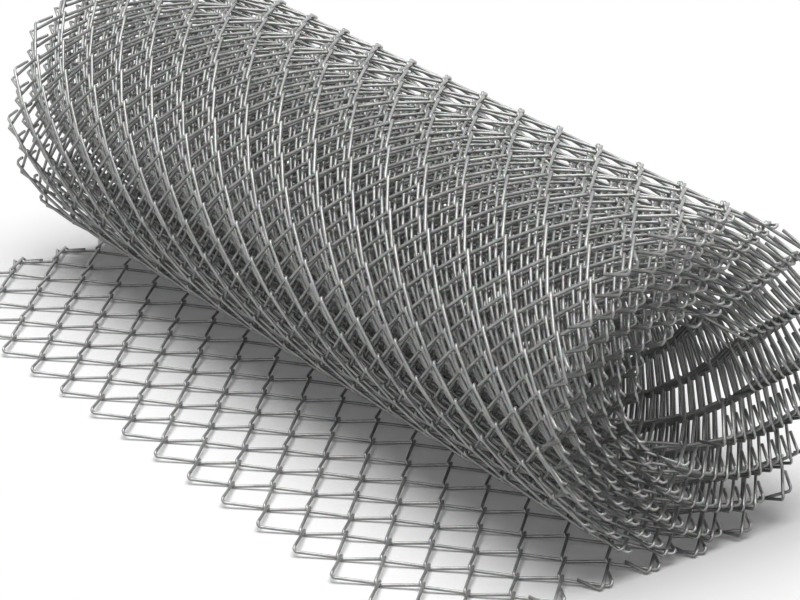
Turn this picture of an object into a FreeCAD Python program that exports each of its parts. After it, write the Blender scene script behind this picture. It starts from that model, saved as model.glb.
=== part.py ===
import FreeCAD, Part
import math
import os

# A roll of chain link mesh with its free end laid out flat on the floor.
# Every wire is the same flattened spiral, hooked into the wires on both sides of it.
# X runs along the wires and the roll, Y along the fabric from the free edge, Z is up.

doc = FreeCAD.newDocument("ChainLinkRoll")
sheet = doc.addObject("Spreadsheet::Sheet", "Sizes")

# alias, value in mm or a count, meaning
DRIVING_SIZES = (
    ("wire_dia", "4", "diameter of the wire"),
    ("diamond_width", "75", "one diamond, measured along the wires"),
    ("diamond_length", "67.6", "one diamond, measured along the fabric"),
    ("diamond_count", "16", "diamonds from selvage to selvage"),
    ("hook_clearance", "0.45", "air between two wires that hook into each other"),
    ("bend_run", "3.2", "length of a bend along the wire"),
    ("knuckle_reach", "6.5", "how far a wire end passes the line where it is knuckled"),
    ("flat_length", "358.3", "fabric on the floor, from the free edge to below the roll's axis"),
    ("bed_length", "25", "fabric pressed flat by the roll, past the line below its axis"),
    ("ripple_height", "3.5", "how much higher every second hook line of the free end lies"),
    ("roll_radius", "202.4", "roll's axis to the middle of the outer turn below it"),
    ("turn_clearance", "2.31", "air between two turns of the roll"),
    ("half_turn_count", "23", "half turns wound on the roll"),
)
for row, (alias, value, meaning) in enumerate(DRIVING_SIZES, start=1):
    sheet.set(f"A{row}", meaning)
    sheet.set(f"B{row}", value)
    sheet.setAlias(f"B{row}", alias)
doc.recompute()


def size(alias):
    return float(sheet.get(alias))


wire_radius = size("wire_dia") / 2
wire_pitch = size("diamond_length") / 2
hook_spacing = size("wire_dia") + size("hook_clearance")
face_level = hook_spacing / 2
bend_reach = wire_pitch / 2 + hook_spacing / 2
bend_half_run = size("bend_run") / 2
half_width = size("diamond_width") * size("diamond_count") / 2
leg_count = 2 * int(size("diamond_count"))
fabric_thickness = hook_spacing + size("wire_dia")
turn_pitch = fabric_thickness + size("turn_clearance")


def knuckle(end):
    """Corners of the bent-over wire end at x = end * half_width, from the tip inwards."""
    x = end * half_width
    corner = wire_pitch / 2 + size("knuckle_reach")
    return [
        FreeCAD.Vector(x, wire_pitch / 2, -end * face_level),
        FreeCAD.Vector(x, corner, -end * face_level),
        FreeCAD.Vector(x, corner, end * face_level),
    ]


def wire_corners():
    """Corners of one wire: legs that rise in y lie on the upper face, those that fall on the lower."""
    corners = knuckle(-1)
    for bend in range(1, leg_count):
        side = -1 if bend % 2 else 1
        x = bend * size("diamond_width") / 2 - half_width
        corners.append(FreeCAD.Vector(x - bend_half_run, side * bend_reach, side * face_level))
        corners.append(FreeCAD.Vector(x + bend_half_run, side * bend_reach, -side * face_level))
    return corners + knuckle(1)[::-1]


path = doc.addObject("Part::Polygon", "WirePath")
path.Nodes = wire_corners()
section = doc.addObject("Part::Circle", "WireSection")
section.setExpression("Radius", "Sizes.wire_dia / 2")
doc.recompute()


def block_beyond(point, normal, reach):
    """Block whose face lies in the plane through point and which fills the side that normal points to."""
    block = Part.makeBox(2 * reach, 2 * reach, reach, FreeCAD.Vector(-reach, -reach, 0))
    block.Placement = FreeCAD.Placement(point, FreeCAD.Rotation(FreeCAD.Vector(0, 0, 1), normal))
    return block


def bent_rod(corners, radius):
    """Round rod along the corners, mitred at each of them, with its seam running on from leg to leg."""
    ways = [(end - start).normalize() for start, end in zip(corners[:-1], corners[1:])]
    mitres = [(before + after).normalize() for before, after in zip(ways[:-1], ways[1:])]
    planes = [ways[0]] + mitres + [ways[-1]]
    spare = 2 * radius
    seam = corners[0] + FreeCAD.Vector(0, 0, radius)
    skin = []
    for leg, way in enumerate(ways):
        start = corners[leg]
        end = corners[leg + 1]
        outward = seam - start - way * (seam - start).dot(way)
        turn = FreeCAD.Rotation(outward, way.cross(outward), way, "ZXY")
        rod = Part.makeCylinder(radius, (end - start).Length + 2 * spare)
        rod.Placement = FreeCAD.Placement(start - way * spare, turn)
        rod = rod.cut(block_beyond(start, -planes[leg], 4 * spare))
        rod = rod.cut(block_beyond(end, planes[leg + 1], 4 * spare))
        for face in rod.Faces:
            is_tip = (leg == 0 and face.CenterOfMass.isEqual(start, 1e-6)) or (
                leg == len(ways) - 1 and face.CenterOfMass.isEqual(end, 1e-6)
            )
            if is_tip or isinstance(face.Surface, Part.Cylinder):
                skin.append(face)
        ahead = planes[leg + 1]
        seam += way * ((end - seam).dot(ahead) / way.dot(ahead))
    shell = Part.makeShell(skin)
    shell.sewShape()
    return Part.Solid(shell)


wire = doc.addObject("Part::Feature", "SpiralWire")
wire.Shape = bent_rod(path.Nodes, section.Radius.Value)

# The fabric's middle surface in the Y-Z plane: flat, then a spiral that closes by one pitch a turn.
# The roll beds down on the fabric, so the outer turn leaves the floor past the roll's axis and lies
# against the roll from its top on.
middle_height = face_level + wire_radius


def spiral_point(turned):
    """Point of the spiral after an angle turned from where the fabric leaves the floor."""
    radius = size("roll_radius") - turn_pitch * turned / (2 * math.pi)
    bed = size("bed_length") * (1 + math.cos(min(turned, math.pi))) / 2
    y = size("flat_length") + bed + radius * math.sin(turned)
    z = middle_height + size("roll_radius") - radius * math.cos(turned)
    return FreeCAD.Vector(0, y, z)


def flat_rise(number):
    """Rise of a hook line of the free end: every second one, up to where the roll bears on the fabric."""
    clear_of_roll = number * wire_pitch < size("flat_length") - size("diamond_length")
    return size("ripple_height") if clear_of_roll and number % 2 == 0 else 0.0


def next_turned(start, turned):
    """Angle of the spiral point that lies one wire pitch on from start."""
    low = turned
    high = turned + math.pi / 2
    while high - low > 1e-12:
        middle = (low + high) / 2
        if (spiral_point(middle) - start).Length < wire_pitch:
            low = middle
        else:
            high = middle
    return low


hook_lines = []
along = 0.0
while along < size("flat_length") + size("bed_length"):
    rise = flat_rise(len(hook_lines))
    hook_lines.append((FreeCAD.Vector(0, along, middle_height + rise), 0.0))
    climb = flat_rise(len(hook_lines)) - rise
    along += math.sqrt(wire_pitch**2 - climb**2)
last_turned = size("half_turn_count") * math.pi
while True:
    start, turned = hook_lines[-1]
    turned = next_turned(start, turned)
    if turned > last_turned:
        break
    hook_lines.append((spiral_point(turned), turned))

# One placement for each wire, with every second wire turned over about its own length.
placements = []
for number in range(len(hook_lines) - 1):
    start = hook_lines[number][0]
    end = hook_lines[number + 1][0]
    slope = math.degrees(math.atan2(end.z - start.z, end.y - start.y))
    turned_over = 180 if number % 2 else 0
    rotation = FreeCAD.Rotation(FreeCAD.Vector(1, 0, 0), slope + turned_over)
    placements.append(FreeCAD.Placement((start + end) / 2, rotation))


def wire_at(placement):
    copy = Part.Solid(wire.Shape.Solids[0])
    copy.Placement = placement
    return copy


def group_name(number):
    """Name of the piece of fabric that a wire belongs to."""
    if number == 0:
        return "free_edge_wire"
    if number == len(placements) - 1:
        return "core_edge_wire"
    if hook_lines[number + 1][1] == 0.0:
        return "flat_run"
    middle = (hook_lines[number][1] + hook_lines[number + 1][1]) / 2
    half_turn = int(middle / math.pi)
    side = "front" if half_turn % 2 else "back"
    return f"turn_{half_turn // 2 + 1:02d}_{side}"


groups = {}
for number in range(len(placements)):
    groups.setdefault(group_name(number), []).append(wire_at(placements[number]))

# The origin is on the floor, under the middle of the whole object.
extent = FreeCAD.BoundBox()
for name in ("free_edge_wire", "flat_run", "turn_01_back"):
    for solid in groups[name]:
        extent.add(solid.optimalBoundingBox(True, False))
to_origin = FreeCAD.Vector(-extent.Center.x, -extent.Center.y, -extent.ZMin)

for name, solids in groups.items():
    piece = doc.addObject("Part::Feature", name)
    piece.Label = name
    piece.Shape = Part.makeCompound(solids)
    piece.Placement = FreeCAD.Placement(to_origin, FreeCAD.Rotation())
doc.recompute()

for item in doc.Objects:
    if "Invalid" in item.State or "Error" in item.State:
        raise RuntimeError(f"{item.Name} is in state {item.State}")
    if item.isDerivedFrom("Part::Feature"):
        if item.Shape.isNull() or not item.Shape.isValid():
            raise RuntimeError(f"{item.Name} has no valid shape")

os.makedirs("parts", exist_ok=True)
for name in groups:
    doc.getObject(name).Shape.exportStep(f"parts/{name}.step")
print(f"{len(placements)} wires in {len(groups)} pieces, turn pitch {turn_pitch:.2f} mm")
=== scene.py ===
import bmesh
import bpy
import math
from mathutils import Matrix, Vector


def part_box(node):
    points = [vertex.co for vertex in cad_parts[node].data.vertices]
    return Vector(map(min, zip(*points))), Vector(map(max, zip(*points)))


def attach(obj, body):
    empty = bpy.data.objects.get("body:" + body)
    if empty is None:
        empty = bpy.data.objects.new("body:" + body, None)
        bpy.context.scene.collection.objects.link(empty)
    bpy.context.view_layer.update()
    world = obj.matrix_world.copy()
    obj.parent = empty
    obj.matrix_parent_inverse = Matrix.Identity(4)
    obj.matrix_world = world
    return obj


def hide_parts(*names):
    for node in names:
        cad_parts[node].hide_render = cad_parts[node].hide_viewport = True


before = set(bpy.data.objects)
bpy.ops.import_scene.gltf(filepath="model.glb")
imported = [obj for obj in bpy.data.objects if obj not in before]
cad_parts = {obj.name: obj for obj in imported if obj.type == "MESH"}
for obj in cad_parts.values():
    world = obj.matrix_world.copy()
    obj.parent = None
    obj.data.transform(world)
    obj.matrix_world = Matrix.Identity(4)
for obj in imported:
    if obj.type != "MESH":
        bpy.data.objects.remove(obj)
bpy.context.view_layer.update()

# Spiral wire. Each wire of the mesh is drawn steel, wound round a flat mandrel into a flattened
# spiral: legs that fall in y lie on the upper face and legs that rise on the lower one, and each
# half turn between them goes round the line where it hooks into the next wire.
wire_radius = 0.0020
wire_pitch = 0.0338
diamond_width = 0.075
diamond_count = 16
face_level = 0.002225
half_width = diamond_width * diamond_count / 2
leg_slope = diamond_width / 2 / (wire_pitch + math.pi * face_level)
bend_advance = math.pi * face_level * leg_slope
bend_steps = 5


def ring_of(geometry):
    """The edges of the open end that an operator has just left."""
    corners = {v for v in geometry if isinstance(v, bmesh.types.BMVert)}
    edges = [e for e in geometry if isinstance(e, bmesh.types.BMEdge)]
    return [e for e in edges if corners.issuperset(e.verts)]


def draw(bm, ring, way):
    """Draws the wire on straight from its open end."""
    made = bmesh.ops.extrude_edge_only(bm, edges=ring)["geom"]
    moved = [v for v in made if isinstance(v, bmesh.types.BMVert)]
    bmesh.ops.translate(bm, verts=moved, vec=way)
    return ring_of(made)


def wind(bm, ring, centre, axis, angle, advance, steps):
    """Bends the open end round an axis, while it moves on by advance."""
    geometry = ring + list({v for e in ring for v in e.verts})
    turned = bmesh.ops.spin(bm, geom=geometry, cent=centre, axis=axis, angle=angle, steps=steps,
                            dvec=advance / steps)["geom_last"]
    return ring_of(turned)


# Knuckled ends. At each selvage two neighbouring wires cross, and each end is bent sharply round the
# other wire, through to that wire's face, and its tail is closed round that wire's leg.
knuckle_radius = 0.0032
knuckle_run = 0.0042
bow_steps = 6
tail_lean = math.radians(18)
tail_length = 0.0265


def knuckle(bm, ring, end, curl):
    """Draws the last leg on past the crossing and knuckles it round a wire that leans up by curl."""
    leg = Vector((end * leg_slope, 1, 0))
    ring = draw(bm, ring, leg * (wire_pitch + knuckle_run))
    heading = math.atan2(1, leg_slope)
    inward = Vector((end * -math.sin(heading), math.cos(heading), 0))
    leg_x = end * (half_width - (diamond_width - bend_advance) / 2)
    corner = Vector((leg_x, -wire_pitch / 2, 0)) + leg * (wire_pitch + knuckle_run)
    up = Vector((0, 0, 1))
    bow_turn = math.pi - 2 * heading + tail_lean
    through = up * end * 2 * face_level
    ring = wind(bm, ring, corner + inward * knuckle_radius, up, end * bow_turn, through, bow_steps)
    heading += bow_turn
    tail = Vector((end * math.cos(heading), math.sin(heading), 0)) * tail_length
    ring = draw(bm, ring, Matrix.Rotation(curl, 3, "X") @ (tail - through))
    bmesh.ops.contextual_create(bm, geom=ring)


def spiral_wire(sides, curl):
    """Mesh of one wire along X, hooked on its +y side to a wire that leans up by curl."""
    bm = bmesh.new()
    along = Vector((1, 0, 0))
    start = Vector((-half_width + (diamond_width - bend_advance) / 2, -wire_pitch / 2, face_level))
    facing = Vector((leg_slope, -1, 0)).to_track_quat("Z", "Y").to_matrix().to_4x4()
    made = bmesh.ops.create_circle(
        bm, segments=sides, radius=wire_radius, matrix=Matrix.Translation(start) @ facing)
    first = list({e for v in made["verts"] for e in v.link_edges})
    ring = first
    for bend in range(1, 2 * diamond_count):
        side = -1 if bend % 2 else 1
        centre = Vector((bend * diamond_width / 2 - half_width, side * wire_pitch / 2, 0))
        ring = wind(bm, ring, centre, along, math.pi, along * bend_advance, bend_steps)
        if bend < 2 * diamond_count - 1:
            ring = draw(bm, ring, Vector((leg_slope, -side, 0)) * wire_pitch)
    knuckle(bm, ring, 1, curl)
    knuckle(bm, first, -1, curl)
    bmesh.ops.recalc_face_normals(bm, faces=bm.faces)
    for face in bm.faces:
        face.smooth = True
    mesh = bpy.data.meshes.new("spiral_wire")
    bm.to_mesh(mesh)
    bm.free()
    return mesh


# Zinc coat. The wire is hot-dip galvanised: dull grey zinc with a fine grain, a little uneven in
# tone along the wire and rougher where the coat is thicker.
zinc = bpy.data.materials.new("galvanised_wire")
zinc.use_nodes = True
nodes = zinc.node_tree.nodes
links = zinc.node_tree.links
shader = nodes["Principled BSDF"]
shader.inputs["Metallic"].default_value = 0.45
coords = nodes.new("ShaderNodeTexCoord")
tone = nodes.new("ShaderNodeTexNoise")
tone.inputs["Scale"].default_value = 45
tone.inputs["Detail"].default_value = 4
links.new(coords.outputs["Object"], tone.inputs["Vector"])
grain = nodes.new("ShaderNodeTexVoronoi")
grain.inputs["Scale"].default_value = 620
links.new(coords.outputs["Object"], grain.inputs["Vector"])
zinc_colour = nodes.new("ShaderNodeValToRGB")
zinc_colour.color_ramp.elements[0].position = 0.3
zinc_colour.color_ramp.elements[0].color = (0.35, 0.355, 0.35, 1)
zinc_colour.color_ramp.elements[1].position = 0.7
zinc_colour.color_ramp.elements[1].color = (0.57, 0.575, 0.56, 1)
links.new(tone.outputs["Fac"], zinc_colour.inputs["Fac"])
spangle = nodes.new("ShaderNodeMix")
spangle.data_type = "RGBA"
spangle.blend_type = "MULTIPLY"
spangle.inputs["Factor"].default_value = 0.25
links.new(zinc_colour.outputs["Color"], spangle.inputs["A"])
links.new(grain.outputs["Color"], spangle.inputs["B"])
links.new(spangle.outputs["Result"], shader.inputs["Base Color"])
dullness = nodes.new("ShaderNodeMapRange")
dullness.inputs["To Min"].default_value = 0.24
dullness.inputs["To Max"].default_value = 0.4
links.new(tone.outputs["Fac"], dullness.inputs["Value"])
links.new(dullness.outputs["Result"], shader.inputs["Roughness"])
coat = nodes.new("ShaderNodeBump")
coat.inputs["Strength"].default_value = 0.25
coat.inputs["Distance"].default_value = 0.0002
links.new(grain.outputs["Distance"], coat.inputs["Height"])
links.new(coat.outputs["Normal"], shader.inputs["Normal"])

# Lay of the fabric. The free end lies on the floor in a slight ripple, and the rest is wound on in a
# spiral that closes by one pitch a turn. The roll beds down on the fabric, so the outer turn leaves
# the floor past its axis. Each wire sits between two hook lines of that course.
flat_length = 0.3583
roll_radius = 0.2024
turn_pitch = 0.01076
half_turn_count = 23
bed_length = 0.0250
ripple_height = 0.0035
floor_clearance = 0.00086
middle_height = floor_clearance + face_level + wire_radius
edge_tilt = math.asin(ripple_height / wire_pitch)
edge_reach = face_level * (math.cos(edge_tilt) + math.sin(edge_tilt)) + wire_radius
free_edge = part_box("free_edge_wire")[0].y + edge_reach


def spiral_point(turned):
    """Point of the fabric's middle at an angle turned from where it leaves the floor."""
    radius = roll_radius - turn_pitch * turned / math.tau
    bed = bed_length * (1 + math.cos(min(turned, math.pi))) / 2
    y = free_edge + flat_length + bed + radius * math.sin(turned)
    return Vector((0, y, middle_height + roll_radius - radius * math.cos(turned)))


def next_turned(start, turned):
    """Angle at which the fabric has gone one wire pitch on from start."""
    low, high = turned, turned + math.pi / 2
    while high - low > 1e-9:
        middle = (low + high) / 2
        if (spiral_point(middle) - start).length < wire_pitch:
            low = middle
        else:
            high = middle
    return low


def flat_rise(number):
    """Rise of a hook line of the free end: every second one, up to where the roll bears on it."""
    clear_of_roll = number * wire_pitch < flat_length - 2 * wire_pitch
    return ripple_height if clear_of_roll and number % 2 == 0 else 0.0


hook_lines = []
along = 0.0
while along < flat_length + bed_length:
    rise = flat_rise(len(hook_lines))
    hook_lines.append((Vector((0, free_edge + along, middle_height + rise)), 0.0))
    climb = flat_rise(len(hook_lines)) - rise
    along += math.sqrt(wire_pitch**2 - climb**2)
while True:
    start, turned = hook_lines[-1]
    turned = next_turned(start, turned)
    if turned > half_turn_count * math.pi:
        break
    hook_lines.append((spiral_point(turned), turned))
slopes = []
for (start, _), (end, _) in zip(hook_lines[:-1], hook_lines[1:]):
    slopes.append(math.atan2(end.z - start.z, end.y - start.y))
wire_count = len(slopes)


def lay_wires(name, numbers, sides):
    """One piece of fabric: its wires, each turned over against the one before it."""
    selvage = min(numbers[len(numbers) // 2] // 2 * 2, wire_count - 2)
    curl = math.remainder(slopes[selvage + 1] - slopes[selvage], math.tau)
    faces_up = spiral_wire(sides, curl)
    faces_down = spiral_wire(sides, -curl)
    bm = bmesh.new()
    for number in numbers:
        turned_over = math.pi if number % 2 else 0
        centre = (hook_lines[number][0] + hook_lines[number + 1][0]) / 2
        wire = (faces_down if number % 2 else faces_up).copy()
        lean = Matrix.Rotation(slopes[number] + turned_over, 4, "X")
        wire.transform(Matrix.Translation(centre) @ lean)
        bm.from_mesh(wire)
        bpy.data.meshes.remove(wire)
    bpy.data.meshes.remove(faces_up)
    bpy.data.meshes.remove(faces_down)
    mesh = bpy.data.meshes.new(name)
    bm.to_mesh(mesh)
    bm.free()
    mesh.materials.append(zinc)
    piece = bpy.data.objects.new(name + "_wires", mesh)
    bpy.context.scene.collection.objects.link(piece)
    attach(piece, "root")
    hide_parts(name)


# Free edge and flat run. The last wire's open bends are the teeth of the free edge, and the wires
# after it lie flat on the floor up to the roll.
outer_sides = 8
flat_numbers = [n for n in range(1, wire_count) if hook_lines[n + 1][1] == 0.0]
lay_wires("free_edge_wire", [0], outer_sides)
lay_wires("flat_run", flat_numbers, outer_sides)

# Wound turns. The fabric goes up the far side of the roll, over its top and down the near side, and
# each half turn is a piece of its own. Wires further in than the outer turns have fewer sides.
inner_sides = 6
outer_half_turns = 4
half_turns = {}
for number in range(flat_numbers[-1] + 1, wire_count - 1):
    middle = (hook_lines[number][1] + hook_lines[number + 1][1]) / 2
    half_turns.setdefault(int(middle / math.pi), []).append(number)
for half_turn, numbers in half_turns.items():
    side = "front" if half_turn % 2 else "back"
    sides = outer_sides if half_turn < outer_half_turns else inner_sides
    lay_wires(f"turn_{half_turn // 2 + 1:02d}_{side}", numbers, sides)

# Core edge. The first wire of the fabric ends the innermost turn at the open core. It is hooked to
# the turn on one side alone, and its other bends stand free.
lay_wires("core_edge_wire", [wire_count - 1], inner_sides)

# Floor, light and camera. A plain pale floor of matt paper, a soft lamp overhead and an even sky,
# seen from the near end of the roll and a little above it.
floor_reach = 60
bm = bmesh.new()
bmesh.ops.create_grid(bm, x_segments=1, y_segments=1, size=floor_reach)
floor_mesh = bpy.data.meshes.new("floor")
bm.to_mesh(floor_mesh)
bm.free()
floor = bpy.data.objects.new("floor", floor_mesh)
bpy.context.scene.collection.objects.link(floor)
paper = bpy.data.materials.new("floor_paper")
paper.use_nodes = True
nodes = paper.node_tree.nodes
links = paper.node_tree.links
shader = nodes["Principled BSDF"]
shader.inputs["Roughness"].default_value = 0.9
shader.inputs["Emission Color"].default_value = (1, 1, 1, 1)
ray = nodes.new("ShaderNodeLightPath")
seen = nodes.new("ShaderNodeMath")
seen.operation = "MAXIMUM"
links.new(ray.outputs["Is Camera Ray"], seen.inputs[0])
links.new(ray.outputs["Is Glossy Ray"], seen.inputs[1])
paleness = nodes.new("ShaderNodeMapRange")
paleness.inputs["To Min"].default_value = 0.1
paleness.inputs["To Max"].default_value = 0.93
links.new(seen.outputs["Value"], paleness.inputs["Value"])
links.new(paleness.outputs["Result"], shader.inputs["Base Color"])
glow = nodes.new("ShaderNodeMath")
glow.operation = "MULTIPLY"
glow.inputs[1].default_value = 0.08
links.new(seen.outputs["Value"], glow.inputs[0])
links.new(glow.outputs["Value"], shader.inputs["Emission Strength"])
floor_mesh.materials.append(paper)

world = bpy.data.worlds.new("studio")
world.use_nodes = True
bpy.context.scene.world = world
nodes = world.node_tree.nodes
links = world.node_tree.links
sky = nodes["Background"]
sky.inputs["Color"].default_value = (1, 1, 1, 1)
ray = nodes.new("ShaderNodeLightPath")
direct = nodes.new("ShaderNodeMath")
direct.operation = "MAXIMUM"
links.new(ray.outputs["Is Camera Ray"], direct.inputs[0])
links.new(ray.outputs["Is Glossy Ray"], direct.inputs[1])
shown = nodes.new("ShaderNodeMath")
shown.operation = "MAXIMUM"
links.new(direct.outputs["Value"], shown.inputs[0])
links.new(ray.outputs["Is Transmission Ray"], shown.inputs[1])
level = nodes.new("ShaderNodeMapRange")
level.inputs["To Min"].default_value = 0.04
level.inputs["To Max"].default_value = 1.0
links.new(shown.outputs["Value"], level.inputs["Value"])
links.new(level.outputs["Result"], sky.inputs["Strength"])

lamp_data = bpy.data.lights.new("overhead_light", "SUN")
lamp_data.angle = math.radians(54)
lamp_data.energy = 2.95
lamp = bpy.data.objects.new("overhead_light", lamp_data)
lamp.location = (0, 0, 3)
bpy.context.scene.collection.objects.link(lamp)

camera_data = bpy.data.cameras.new("camera")
camera_data.sensor_width = 36
camera_data.lens = 143.02
camera = bpy.data.objects.new("camera", camera_data)
right = Vector((0.5783, 0.8158, -0.0001))
up = Vector((-0.3204, 0.2272, 0.9196))
turn = Matrix((right, up, right.cross(up))).transposed()
camera.matrix_world = Matrix.Translation((2.9989, -2.0285, 1.6713)) @ turn.to_4x4()
bpy.context.scene.collection.objects.link(camera)
bpy.context.scene.camera = camera
bpy.context.scene.view_settings.view_transform = "Standard"

bpy.context.view_layer.update()
